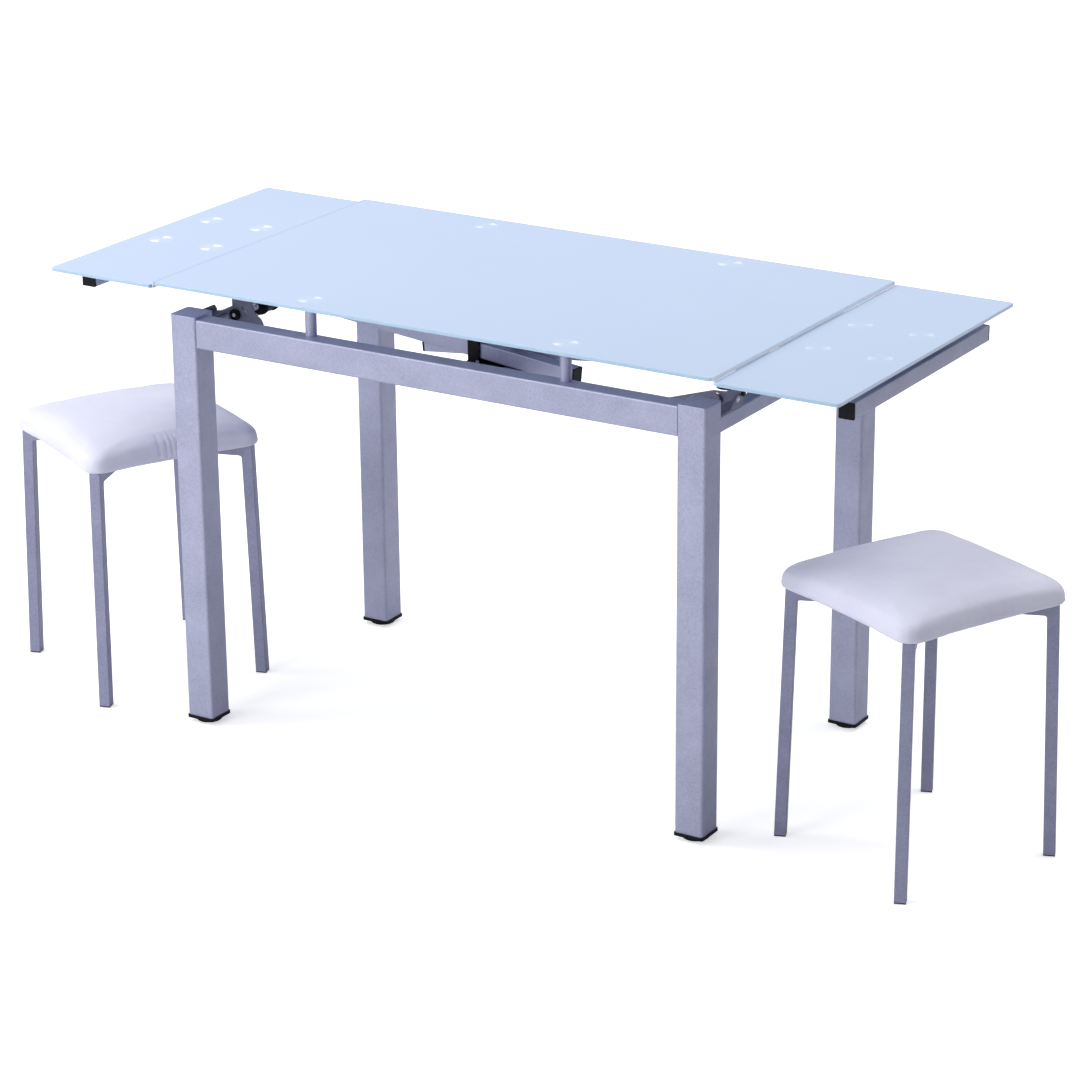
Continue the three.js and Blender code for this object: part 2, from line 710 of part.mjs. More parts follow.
function place_stool(solid, x, y, turn) {
  return solid.rotate([0, 0, THREE.MathUtils.radToDeg(turn)]).translate([x, y, 0]);
}

const part = new THREE.Group();
part.name = 'extending_table_with_stools';

function add_table_frame() {
  const places = [['front', -1], ['rear', 1]];
  for (const [depth_name, sign_y] of places) {
    for (const [side, sign_x] of [['left', -1], ['right', 1]]) {
      const place = `${depth_name}_${side}`;
      part.add(node(`leg_${place}`, leg(sign_x, sign_y), 'coated_steel'));
      part.add(node(`foot_plug_${place}`, foot_plug(sign_x, sign_y), 'black_plastic'));
      part.add(node(`glide_${place}`, glide(sign_x, sign_y), 'black_plastic'));
      part.add(node(`post_${place}`, post(sign_x, sign_y), 'coated_steel'));
    }
    part.add(node(`rail_${depth_name}`, long_rail(sign_y), 'coated_steel'));
  }
  part.add(node('rail_left_end', end_rail(-1), 'coated_steel'));
  part.add(node('rail_right_end', end_rail(1), 'coated_steel'));
  part.add(node('cross_channel', cross_channel(), 'coated_steel'));
  const half = centre_length / 2;
  part.add(node('glass_centre', sheet(-half, half, glass_underside), 'frosted_glass'));
}

// The right-hand leaf is the left one turned half a turn, so its front arm is the left's rear arm.
function add_leaf(side) {
  const front_y = side === 'left' ? arm_front_y : arm_rear_y;
  const rear_y = side === 'left' ? arm_rear_y : arm_front_y;
  const put = (name, solid, finish_name) => part.add(node(name, to_side(solid, side), finish_name));
  put(`glass_${side}_leaf`, leaf_glass(), 'frosted_glass');
  put(`end_bar_${side}`, end_bar(), 'coated_steel');
  put(`shaft_${side}`, shaft(), 'zinc_steel');
  for (const [depth_name, y] of [['front', front_y], ['rear', rear_y]]) {
    const place = `${side}_${depth_name}`;
    put(`arm_${place}`, arm(y), 'coated_steel');
    put(`arm_cap_${place}`, arm_cap(y), 'black_plastic');
    put(`bar_cap_${place}`, bar_cap(Math.sign(y)), 'black_plastic');
    put(`guide_${place}`, guide(y), 'black_plastic');
    put(`bracket_${place}`, bracket(Math.sign(y)), 'coated_steel');
    put(`roller_${place}`, roller(y), 'black_plastic');
  }
}

function add_stool(side, x, y, turn) {
  const put = (name, solid, finish_name) => {
    part.add(node(`stool_${side}_${name}`, place_stool(solid, x, y, turn), finish_name));
  };
  put('frame', stool_frame(), 'coated_steel');
  put('board', seat_board(), 'seat_board');
  put('cushion', cushion(), 'white_leather');
}

// Moves the whole set so that the middle of its footprint is at the zero point.
function centre_on_floor() {
  const box = new THREE.Box3().setFromObject(part);
  const middle = box.getCenter(new THREE.Vector3());
  for (const mesh of part.children) mesh.geometry.translate(-middle.x, -middle.y, -box.min.z);
}

add_table_frame();
add_leaf('left');
add_leaf('right');
add_stool('left', left_stool_x, left_stool_y, left_stool_turn);
add_stool('right', right_stool_x, right_stool_y, right_stool_turn);
centre_on_floor();

export default part;
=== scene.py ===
import json
import math

import bmesh
import bpy
from mathutils import Matrix, Vector


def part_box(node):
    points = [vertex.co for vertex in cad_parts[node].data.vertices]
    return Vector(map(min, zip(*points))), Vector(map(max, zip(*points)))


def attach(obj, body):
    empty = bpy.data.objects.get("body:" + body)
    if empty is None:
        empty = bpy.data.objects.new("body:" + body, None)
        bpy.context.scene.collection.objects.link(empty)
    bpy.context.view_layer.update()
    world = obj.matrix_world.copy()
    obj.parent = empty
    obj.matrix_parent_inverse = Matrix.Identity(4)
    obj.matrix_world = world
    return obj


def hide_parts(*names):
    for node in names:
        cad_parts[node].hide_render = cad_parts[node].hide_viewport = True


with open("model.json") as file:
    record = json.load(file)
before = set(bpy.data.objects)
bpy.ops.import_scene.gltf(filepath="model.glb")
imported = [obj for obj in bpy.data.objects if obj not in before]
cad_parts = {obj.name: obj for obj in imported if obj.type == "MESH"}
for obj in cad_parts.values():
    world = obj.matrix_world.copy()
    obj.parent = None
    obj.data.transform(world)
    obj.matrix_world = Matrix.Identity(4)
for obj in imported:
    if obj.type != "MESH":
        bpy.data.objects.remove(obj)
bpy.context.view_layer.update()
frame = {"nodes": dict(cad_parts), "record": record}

# Sizes and places are in metres. Places on the table are measured from its middle, on the floor.
centre_low, centre_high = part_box("glass_centre")
MIDDLE = (centre_low + centre_high) / 2
MIDDLE.z = 0

# Part of the range from 0 to 1 in which nearly all values of a noise lie.
NOISE_SPAN = (0.3, 0.7)


# Node helpers

def new_material(name):
    material = bpy.data.materials.new(name)
    material.use_nodes = True
    tree = material.node_tree
    tree.nodes.clear()
    shader = tree.nodes.new("ShaderNodeBsdfPrincipled")
    out = tree.nodes.new("ShaderNodeOutputMaterial")
    tree.links.new(shader.outputs["BSDF"], out.inputs["Surface"])
    return material, tree, shader


def feed(tree, socket, value):
    """Links a value into a socket where it comes from a node, and sets it there where it doesn't."""
    if isinstance(value, bpy.types.NodeSocket):
        tree.links.new(value, socket)
    else:
        socket.default_value = value


def node(tree, kind, inputs=None, **settings):
    made = tree.nodes.new(kind)
    for name, value in settings.items():
        setattr(made, name, value)
    for name, value in (inputs or {}).items():
        feed(tree, made.inputs[name], value)
    return made


def math_node(tree, operation, a, b=None, clamp=False):
    values = {0: a} if b is None else {0: a, 1: b}
    return node(tree, "ShaderNodeMath", values, operation=operation, use_clamp=clamp).outputs[0]


def place(tree):
    return node(tree, "ShaderNodeTexCoord").outputs["Object"]


def split(tree, vector):
    """The X, Y and Z of a vector."""
    return node(tree, "ShaderNodeSeparateXYZ", {0: vector}).outputs


def facing(tree):
    """The X, Y and Z of the way that a face looks."""
    return split(tree, node(tree, "ShaderNodeNewGeometry").outputs["Normal"])


def noise(tree, vector, scale, detail=3, roughness=0.5, distortion=0):
    return node(tree, "ShaderNodeTexNoise", {
        "Vector": vector, "Scale": scale, "Detail": detail,
        "Roughness": roughness, "Distortion": distortion}).outputs["Fac"]


def spread(tree, value, given, wanted):
    """Stretches a value from one range to another and keeps it inside."""
    return node(tree, "ShaderNodeMapRange", {
        "Value": value, "From Min": given[0], "From Max": given[1],
        "To Min": wanted[0], "To Max": wanted[1]}).outputs["Result"]


def blend(tree, factor, a, b):
    """The colour a where the factor is 0, and b where it is 1."""
    mixed = node(tree, "ShaderNodeMix", data_type="RGBA")
    for socket, value in ((0, factor), (6, a), (7, b)):
        feed(tree, mixed.inputs[socket], value)
    return mixed.outputs[2]


def bump(tree, height, distance, strength, normal=None):
    values = {"Height": height, "Distance": distance, "Strength": strength}
    if normal is not None:
        values["Normal"] = normal
    return node(tree, "ShaderNodeBump", values).outputs["Normal"]


def rgb(red, green, blue):
    """A colour as it is seen on a screen, 0 to 255, turned into the linear values that shaders take."""
    def linear(value):
        value /= 255
        return value / 12.92 if value <= 0.04045 else ((value + 0.055) / 1.055) ** 2.4
    return (linear(red), linear(green), linear(blue), 1.0)


# Materials

def coated_steel(name, light, dark, dark_foot_height=0):
    """Silver-grey powder coat: fine metallic sparkle, faint mottling and orange peel.

    Where a foot height is given, the colour is darker below it, towards the bottom."""
    material, tree, shader = new_material(name)
    edge_radius, peel_depth, speck_depth = 0.0022, 0.00012, 0.00005
    at = place(tree)
    cloud = noise(tree, at, scale=16, detail=5, roughness=0.65)
    patch = noise(tree, at, scale=260, detail=4, roughness=0.7)
    speck = noise(tree, at, scale=1100, detail=2, roughness=0.7)
    peel = noise(tree, at, scale=420, detail=3, roughness=0.55)
    tint = spread(tree, cloud, NOISE_SPAN, (0.32, 0.68))
    tint = math_node(tree, "ADD", tint, spread(tree, patch, NOISE_SPAN, (-0.2, 0.2)))
    tint = math_node(tree, "ADD", tint, spread(tree, speck, NOISE_SPAN, (-0.45, 0.45)), clamp=True)
    coat = blend(tree, tint, dark, light)
    if dark_foot_height > 0:
        # Darker towards the bottom, fading out a little above the given height.
        second_tone = spread(tree, split(tree, at)["Z"], (0.8 * dark_foot_height, 1.2 * dark_foot_height), (1, 0))
        coat = blend(tree, second_tone, coat, rgb(52, 50, 58))
    tree.links.new(coat, shader.inputs["Base Color"])
    shader.inputs["Metallic"].default_value = 0.45
    tree.links.new(spread(tree, speck, (0.25, 0.75), (0.36, 0.52)), shader.inputs["Roughness"])
    rounded = node(tree, "ShaderNodeBevel", {"Radius": edge_radius}, samples=6).outputs["Normal"]
    peeled = bump(tree, peel, peel_depth, 0.5, rounded)
    tree.links.new(bump(tree, speck, speck_depth, 0.5, peeled), shader.inputs["Normal"])
    return material


def bright_steel(name):
    """Zinc-plated screws and axles with fine turning marks."""
    material, tree, shader = new_material(name)
    mark_depth = 0.00003
    at = place(tree)
    patch = noise(tree, at, scale=260, detail=4, roughness=0.6)
    fine = noise(tree, at, scale=2600, detail=2)
    tree.links.new(blend(tree, patch, rgb(176, 178, 190), rgb(226, 227, 235)), shader.inputs["Base Color"])
    shader.inputs["Metallic"].default_value = 0.85
    tree.links.new(spread(tree, patch, NOISE_SPAN, (0.2, 0.38)), shader.inputs["Roughness"])
    tree.links.new(bump(tree, fine, mark_depth, 0.5), shader.inputs["Normal"])
    return material


def black_plastic(name):
    """Moulded plastic with a fine matt grain and light rubbing."""
    material, tree, shader = new_material(name)
    grain_depth = 0.00006
    at = place(tree)
    grain = noise(tree, at, scale=1500, detail=3, roughness=0.6)
    rub = noise(tree, at, scale=60, detail=4, roughness=0.65)
    second_tone = spread(tree, rub, (0.35, 0.75), (0, 1))
    tree.links.new(blend(tree, second_tone, rgb(6, 6, 12), rgb(20, 20, 28)), shader.inputs["Base Color"])
    tree.links.new(spread(tree, rub, NOISE_SPAN, (0.42, 0.6)), shader.inputs["Roughness"])
    tree.links.new(bump(tree, grain, grain_depth, 0.5), shader.inputs["Normal"])
    shader.inputs["Specular IOR Level"].default_value = 0.15
    return material


def pale_strip(name):
    """Soft pale edging in the seams of the glass, mottled a little. Its top is painted greyer as painted
    shade along the seam, and its sides painted lighter as painted light.
    """
    material, tree, shader = new_material(name)
    grain_depth = 0.00004
    at = place(tree)
    rub = noise(tree, at, scale=90, detail=4, roughness=0.6)
    grain = noise(tree, at, scale=1200, detail=2)
    top = blend(tree, rub, rgb(166, 182, 208), rgb(178, 194, 220))
    side = blend(tree, rub, rgb(236, 243, 255), rgb(246, 250, 255))
    # Painted light and shade: faces that look up take the greyer top colour, the others the lighter side
    # colour.
    upward = spread(tree, facing(tree)["Z"], (0.2, 0.8), (0, 1))
    tree.links.new(blend(tree, upward, side, top), shader.inputs["Base Color"])
    tree.links.new(spread(tree, rub, NOISE_SPAN, (0.5, 0.65)), shader.inputs["Roughness"])
    tree.links.new(bump(tree, grain, grain_depth, 0.4), shader.inputs["Normal"])
    shader.inputs["Specular IOR Level"].default_value = 0.2
    return material


def white_leather(name):
    """White coated upholstery: pebbled grain with fine creases."""
    material, tree, shader = new_material(name)
    fold_depth, pebble_depth = 0.0009, 0.00012
    at = place(tree)
    cells = node(tree, "ShaderNodeTexVoronoi", {"Vector": at, "Scale": 950}, feature="DISTANCE_TO_EDGE")
    pebble = spread(tree, cells.outputs["Distance"], (0, 0.22), (0, 1))
    fold = noise(tree, at, scale=55, detail=5, roughness=0.62, distortion=1.4)
    tone = spread(tree, noise(tree, at, scale=9), (0.35, 0.65), (0, 1))
    clean = blend(tree, tone, rgb(222, 222, 242), rgb(232, 232, 248))
    grooves = blend(tree, pebble, rgb(205, 205, 226), clean)
    tree.links.new(blend(tree, 0.6, clean, grooves), shader.inputs["Base Color"])
    tree.links.new(spread(tree, fold, NOISE_SPAN, (0.42, 0.55)), shader.inputs["Roughness"])
    shader.inputs["Specular IOR Level"].default_value = 0.35
    shader.inputs["Sheen Weight"].default_value = 0.08
    folded = bump(tree, fold, fold_depth, 0.35)
    tree.links.new(bump(tree, pebble, pebble_depth, 0.35, folded), shader.inputs["Normal"])
    return material


def plain_wood(name):
    """Seat board seen from below: pale ply with a fine grain."""
    material, tree, shader = new_material(name)
    grain_depth = 0.0002
    stretched = node(tree, "ShaderNodeMapping", {"Vector": place(tree), "Scale": (6, 90, 90)}).outputs[0]
    grain = noise(tree, stretched, scale=2, detail=6, roughness=0.65, distortion=0.6)
    tree.links.new(blend(tree, grain, rgb(120, 96, 70), rgb(182, 152, 116)), shader.inputs["Base Color"])
    tree.links.new(spread(tree, grain, NOISE_SPAN, (0.6, 0.75)), shader.inputs["Roughness"])
    tree.links.new(bump(tree, grain, grain_depth, 0.4), shader.inputs["Normal"])
    return material


# Discs bonded under the glass. Their shine through it is a painted reflection, mixed into the glass's
# colour as near-white. Those of the middle glass lie on its posts.
DISC_RADIUS = 0.0205
DISC_SOFT = 0.001
LEAF_DISC_X = (0.557, 0.6596)
LEAF_DISC_Y = (-0.0695, 0.0695)


def painted_disc_shine():
    """Gives how bright a point is in the painted bow-tie reflection of a turned disc under the glass, with
    a faint painted glow over the whole disc.
    """
    group = bpy.data.node_groups.new("painted_disc_shine", "ShaderNodeTree")
    hub = 0.006
    for name, kind in (("Vector", "NodeSocketVector"), ("Middle", "NodeSocketVector"),
                       ("Angle", "NodeSocketFloat")):
        group.interface.new_socket(name, in_out="INPUT", socket_type=kind)
    group.interface.new_socket("Painted_shine", in_out="OUTPUT", socket_type="NodeSocketFloat")
    ins = group.nodes.new("NodeGroupInput")
    outs = group.nodes.new("NodeGroupOutput")
    off = node(group, "ShaderNodeVectorMath", {0: ins.outputs["Vector"], 1: ins.outputs["Middle"]},
               operation="SUBTRACT")
    x, y, _ = split(group, off.outputs[0])
    squares = [math_node(group, "MULTIPLY", side, side) for side in (x, y)]
    reach = math_node(group, "SQRT", math_node(group, "ADD", *squares))
    turn = math_node(group, "SUBTRACT", math_node(group, "ARCTAN2", y, x), ins.outputs["Angle"])
    along = math_node(group, "ABSOLUTE", math_node(group, "COSINE", turn))
    wedge = spread(group, along, (0.82, 0.97), (0, 1))
    beyond_hub = spread(group, reach, (DISC_SOFT, hub), (0, 1))
    within_rim = spread(group, reach, (DISC_RADIUS - 3 * DISC_SOFT, DISC_RADIUS), (1, 0))
    inside = math_node(group, "MULTIPLY", beyond_hub, within_rim)
    inside = math_node(group, "MULTIPLY", inside, spread(group, reach, (hub, 2.5 * hub), (0.4, 1)))
    # A faint painted glow over the whole disc.
    disc_glow_paint = spread(group, reach, (DISC_RADIUS + DISC_SOFT, DISC_RADIUS), (0, 0.08))
    shine_paint = math_node(group, "MULTIPLY", wedge, inside)
    group.links.new(math_node(group, "MAXIMUM", shine_paint, disc_glow_paint), outs.inputs[0])
    return group


DISC_SHINE_PAINT = painted_disc_shine()

# Middle of the gap between the middle glass and a leaf, from the middle of the table.
SEAM_X = 0.50425


def painted_seam_shade(tree, x):
    """How much a point of the glass lies in the painted shade line along a seam, where the gap between the
    glasses falls in shade. The left one is wider.
    """
    lines = []
    for seam, inner, outer, depth in ((-SEAM_X, 0.0040, 0.0075, 1), (SEAM_X, 0.0012, 0.0030, 0.25)):
        off = math_node(tree, "ABSOLUTE", math_node(tree, "SUBTRACT", x, MIDDLE.x + seam))
        lines.append(spread(tree, off, (inner, outer), (depth, 0)))
    return math_node(tree, "MAXIMUM", *lines)


def frosted_glass(name, shine_spots, shine_paint_strength):
    """Pale blue glass, printed white below, with a green-blue edge. The shine of the discs is a painted
    reflection, and there are painted shade lines along the seams, a top painted lighter towards the left
    end, and end faces painted lighter.
    """
    material, tree, shader = new_material(name)
    frost_depth, painted_light_reach = 0.00002, 0.7
    at = place(tree)
    x = split(tree, at)["X"]
    # Painted light: the glass is painted a little lighter towards the left end and darker towards the
    # right, as the light falls.
    along = spread(tree, x, (MIDDLE.x - painted_light_reach, MIDDLE.x + painted_light_reach), (0, 1))
    face = blend(tree, along, rgb(181, 197, 223), rgb(177, 194, 219))
    cloud = spread(tree, noise(tree, at, scale=5), NOISE_SPAN, (0, 0.18))
    face = blend(tree, cloud, face, rgb(190, 203, 226))
    seam_shade = painted_seam_shade(tree, x)
    # Painted shade: the glass's faces are darkened along each seam.
    face = blend(tree, math_node(tree, "MULTIPLY", seam_shade, 0.35), face, rgb(140, 156, 184))
    # Painted reflection: the shine of the discs is mixed into the face as a near-white colour.
    shine_paint = 0.0
    for (disc_x, disc_y), angle in shine_spots:
        inputs = {0: at, 1: (disc_x, disc_y, 0), 2: math.radians(angle)}
        made = node(tree, "ShaderNodeGroup", inputs, node_tree=DISC_SHINE_PAINT)
        shine_paint = math_node(tree, "MAXIMUM", shine_paint, made.outputs[0])
    face = blend(tree, math_node(tree, "MULTIPLY", shine_paint, shine_paint_strength), face, rgb(247, 252, 255))
    way = facing(tree)
    streak = noise(tree, at, scale=240, detail=2)
    side = blend(tree, streak, rgb(170, 197, 222), rgb(186, 211, 234))
    # Painted light: end faces that look along x are painted lighter against their shade.
    side = blend(tree, math_node(tree, "ABSOLUTE", way["X"]), side, rgb(216, 230, 250))
    # Painted shade: the glass's end faces are darkened near each seam.
    side = blend(tree, math_node(tree, "MULTIPLY", seam_shade, 0.8), side, rgb(112, 128, 156))
    edge = spread(tree, math_node(tree, "ABSOLUTE", way["Z"]), (0.25, 0.95), (1, 0))
    tree.links.new(blend(tree, edge, face, side), shader.inputs["Base Color"])
    frost = noise(tree, at, scale=900, detail=2)
    tree.links.new(spread(tree, frost, NOISE_SPAN, (0.42, 0.5)), shader.inputs["Roughness"])
    shader.inputs["IOR"].default_value = 1.5
    shader.inputs["Specular IOR Level"].default_value = 0.2
    tree.links.new(bump(tree, frost, frost_depth, 0.3), shader.inputs["Normal"])
    return material


def disc_shine_spots():
    """The middle of each disc under each glass, and the direction in degrees in which its painted
    reflection runs.
    """
    shine_spots = {"glass_centre": [], "glass_left_leaf": [], "glass_right_leaf": []}
    for depth in ("front", "rear"):
        for side, angle in (("left", 67), ("right", 50)):
            low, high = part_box(f"post_{depth}_{side}")
            shine_spots["glass_centre"].append((((low + high) / 2)[:2], angle))
    for side, sign, angle in (("left", -1, 80), ("right", 1, 28)):
        for x in LEAF_DISC_X:
            for y in LEAF_DISC_Y:
                shine_spots[f"glass_{side}_leaf"].append(((MIDDLE.x + sign * x, MIDDLE.y + y), angle))
    return shine_spots


STEEL = coated_steel("coated_steel", rgb(184, 187, 212), rgb(146, 149, 174))
# Painted shade: a darker copy of the steel for the stool frames.
SHADED_STOOL_STEEL = coated_steel("stool_steel_painted_shade", rgb(157, 159, 188), rgb(122, 124, 150),
                           dark_foot_height=0.0020)
# Painted shade: a darker copy of the steel for the brackets, which lie in the glass's shade, and for the
# caps on the lever ends of the shafts.
SHADED_BRACKET_STEEL = coated_steel("bracket_steel_painted_shade", rgb(132, 133, 152), rgb(100, 101, 118))
ZINC = bright_steel("zinc_steel")
BLACK = black_plastic("black_plastic")
STRIP = pale_strip("pale_strip")
LEATHER = white_leather("white_leather")
BOARD = plain_wood("seat_board")

# The look of each slot in the record, apart from the glass.
LOOKS = {
    "coated_steel": STEEL, "zinc_steel": ZINC, "black_plastic": BLACK, "white_leather": LEATHER,
    "seat_board": BOARD,
}


def look_of(name, slot):
    """The look of a node that isn't glass. Brackets and stool frames get darker copies of the steel, which
    are painted shade.
    """
    if name.startswith("bracket_"):
        return SHADED_BRACKET_STEEL
    if name.startswith("stool_") and slot == "coated_steel":
        return SHADED_STOOL_STEEL
    return LOOKS[slot]


def dress_nodes():
    # How strongly the painted reflection of the discs shows on each glass.
    shine_paint_per_glass = {"glass_centre": 0.5, "glass_left_leaf": 0.95, "glass_right_leaf": 0.28}
    shine_spots = disc_shine_spots()
    glass = {name: frosted_glass(name, shine_spots[name], strength) for name, strength in shine_paint_per_glass.items()}
    slots = {row["node"]: row["material_slot"] for row in frame["record"]["subparts"]}
    for name, thing in frame["nodes"].items():
        thing.data.materials.clear()
        thing.data.materials.append(glass.get(name) or look_of(name, slots[name]))


# Piece helpers

def add_mesh(name, mesh, material, body, smooth=True):
    thing = bpy.data.objects.new(name, mesh)
    bpy.context.scene.collection.objects.link(thing)
    mesh.materials.clear()
    mesh.materials.append(material)
    if smooth:
        for face in mesh.polygons:
            face.use_smooth = True
    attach(thing, body)
    return thing


def from_bmesh(name, shape):
    mesh = bpy.data.meshes.new(name)
    bmesh.ops.recalc_face_normals(shape, faces=shape.faces)
    shape.to_mesh(mesh)
    shape.free()
    return mesh


def apply_modifier(thing, name):
    bpy.context.view_layer.objects.active = thing
    bpy.ops.object.modifier_apply(modifier=name)


# Seat cushions, made about the upright axis of a stool and then set on both

# How far each stool is turned, in degrees.
STOOL_TURNS = {"left": -27.7, "right": -24.6}

SEAT_HALF = 0.1582
SEAT_CORNER = 0.027
SEAT_DRAW_IN = 0.005
SEAT_LOW = 0.4063
SEAT_TOP = 0.4550
SEAT_SIDE_FALL = 0.0092
SEAT_CORNER_FALL = 0.0036
SEAT_SHOULDER = 0.030
SEAT_SHOULDER_HEIGHT = 0.0190
SEAT_TUCK = 0.004
BOARD_HALF = 0.1383
BOARD_TOP = 0.4143
BOARD_CORNER = 0.022

# How many steps the outline, the lower edge, the shoulder and the top are cut into.
SIDE_STEPS = 24
CORNER_STEPS = 8
TUCK_STEPS = 4
SHOULDER_STEPS = 10
TOP_STEPS = 18
QUARTER = math.pi / 2


def seat_outline():
    """A rounded square with its sides drawn in a little, as points around it."""
    straight = SEAT_HALF - SEAT_CORNER
    local = []
    for step in range(SIDE_STEPS):
        along = straight * (2 * step / SIDE_STEPS - 1)
        local.append((SEAT_HALF - SEAT_DRAW_IN * (1 - (along / straight) ** 2), along))
    for step in range(CORNER_STEPS):
        angle = step / CORNER_STEPS * QUARTER
        local.append((straight + SEAT_CORNER * math.cos(angle), straight + SEAT_CORNER * math.sin(angle)))
    points = []
    for side in range(4):
        cos, sin = math.cos(side * QUARTER), math.sin(side * QUARTER)
        points += [Vector((x * cos - y * sin, x * sin + y * cos)) for x, y in local]
    return points


def seat_height(point):
    """Height of the domed top above a point of the seat."""
    along, across = (point.x / SEAT_HALF) ** 2, (point.y / SEAT_HALF) ** 2
    return SEAT_TOP - SEAT_SIDE_FALL * (along + across) - SEAT_CORNER_FALL * along * across


def seat_rows():
    """Rings of points from the lower edge over the rounded shoulder up to the crown."""
    outline = seat_outline()

    def inset(inward):
        return [point * (1 - inward / point.length) for point in outline]

    rows = []
    for step in range(TUCK_STEPS + 1):
        bend = step / TUCK_STEPS * QUARTER
        z = SEAT_LOW + SEAT_TUCK * (1 - math.cos(bend))
        rows.append([(*p, z) for p in inset(SEAT_TUCK * (1 - math.sin(bend)))])
    top_edge = inset(SEAT_SHOULDER)
    heights = [seat_height(p) for p in top_edge]
    for step in range(SHOULDER_STEPS):
        bend = step / SHOULDER_STEPS * QUARTER
        below = SEAT_SHOULDER_HEIGHT * (1 - math.sin(bend))
        ring = inset(SEAT_SHOULDER * (1 - math.cos(bend)))
        rows.append([(*p, height - below) for p, height in zip(ring, heights)])
    for step in range(TOP_STEPS):
        ring = [p * (1 - step / TOP_STEPS) for p in top_edge]
        rows.append([(*p, seat_height(p)) for p in ring])
    return rows


def seat_shape():
    shape = bmesh.new()
    rows = [[shape.verts.new(co) for co in row] for row in seat_rows()]
    count = len(rows[0])
    for low, high in zip(rows, rows[1:]):
        for i in range(count):
            shape.faces.new((low[i], low[(i + 1) % count], high[(i + 1) % count], high[i]))
    top = shape.verts.new((0, 0, SEAT_TOP))
    bottom = shape.verts.new((0, 0, SEAT_LOW))
    for i in range(count):
        shape.faces.new((rows[-1][i], rows[-1][(i + 1) % count], top))
        shape.faces.new((rows[0][(i + 1) % count], rows[0][i], bottom))
    return from_bmesh("seat_shape", shape)


def remesh_evenly(thing):
    remesh = thing.modifiers.new("remesh", "REMESH")
    remesh.mode = "VOXEL"
    remesh.voxel_size = 0.005
    apply_modifier(thing, "remesh")


def swell(thing):
    """Blows the pad up a little as cloth, held by its lower edge, and smooths it."""
    remesh_evenly(thing)
    limit, held_height, last_frame = 0.0025, 0.003, 20
    start = [v.co.copy() for v in thing.data.vertices]
    held = thing.vertex_groups.new(name="held")
    held.add([i for i, co in enumerate(start) if co.z < SEAT_LOW + held_height], 1.0, "REPLACE")
    cloth = thing.modifiers.new("cloth", "CLOTH")
    settings = cloth.settings
    settings.quality = 5
    settings.mass = 0.3
    settings.use_pressure = True
    settings.uniform_pressure_force = 4
    settings.tension_stiffness = 12
    settings.compression_stiffness = 6
    settings.bending_stiffness = 2
    settings.effector_weights.gravity = 0
    settings.vertex_group_mass = "held"
    scene = bpy.context.scene
    for number in range(1, last_frame + 1):
        scene.frame_set(number)
    apply_modifier(thing, "cloth")
    for vertex, first in zip(thing.data.vertices, start):
        step = vertex.co - first
        if step.length > limit:
            vertex.co = first + step.normalized() * limit
    thing.vertex_groups.clear()
    scene.frame_set(1)
    ease = thing.modifiers.new("ease", "SMOOTH")
    ease.factor = 0.5
    ease.iterations = 5
    apply_modifier(thing, "ease")


# Short creases in the cover beside the seat's edge: side, middle along it, spread along it and depth.
CREASES = [
    (0, -0.010, 0.030, 0.0010), (0, 0.062, 0.016, 0.0005), (1, 0.020, 0.030, 0.0003),
    (2, -0.035, 0.026, 0.0004), (3, -0.055, 0.020, 0.0002),
]
CREASE_FROM_EDGE = 0.010
CREASE_REACH = 0.018
CREASE_PITCH = 0.0115


def crease(co):
    """How far the cover is drawn in at a point by the creases."""
    depth = 0.0
    for side, middle, width, deep in CREASES:
        cos, sin = math.cos(side * QUARTER), math.sin(side * QUARTER)
        out = co.x * cos + co.y * sin - SEAT_HALF
        along = co.y * cos - co.x * sin
        near_edge = math.exp(-((out + CREASE_FROM_EDGE) / CREASE_REACH) ** 2)
        near_middle = math.exp(-((along - middle) / width) ** 2)
        wander = 0.35 * math.sin(along * 90 + side) + 6 * out
        wave = math.sin(2 * math.pi * (along / CREASE_PITCH + wander))
        depth += deep * near_edge * near_middle * max(0.0, wave) ** 1.5
    return depth


def wrinkle(thing):
    """Presses the creases into the cover and gives its top a slightly uneven filling."""
    plain_height, lump_height, lump_from, lump_fade = 0.006, 0.0005, 0.43, 0.01
    mesh = thing.data
    normals = [v.normal.copy() for v in mesh.vertices]
    for vertex, normal in zip(mesh.vertices, normals):
        if vertex.co.z < SEAT_LOW + plain_height:
            continue
        vertex.co -= normal * crease(vertex.co)
        lump = math.sin(vertex.co.x * 31 + 1.3) * math.sin(vertex.co.y * 27 + 0.4)
        vertex.co.z += lump_height * lump * max(0.0, min(1.0, (vertex.co.z - lump_from) / lump_fade))


def hollow_below(thing):
    """Cuts the space for the seat board out of the pad's underside."""
    overrun, upright = 0.02, 0.001
    shape = bmesh.new()
    bmesh.ops.create_cube(shape, size=1)
    for vertex in shape.verts:
        vertex.co = Vector((vertex.co.x * 2 * BOARD_HALF, vertex.co.y * 2 * BOARD_HALF,
                            BOARD_TOP if vertex.co.z > 0 else SEAT_LOW - overrun))
    corners = [e for e in shape.edges if abs(e.verts[0].co.z - e.verts[1].co.z) > upright]
    bmesh.ops.bevel(shape, geom=corners, offset=BOARD_CORNER, segments=6, affect="EDGES")
    cutter = bpy.data.objects.new("cutter", from_bmesh("cutter", shape))
    bpy.context.scene.collection.objects.link(cutter)
    boolean = thing.modifiers.new("hollow", "BOOLEAN")
    boolean.operation = "DIFFERENCE"
    boolean.object = cutter
    apply_modifier(thing, "hollow")
    bpy.data.objects.remove(cutter)


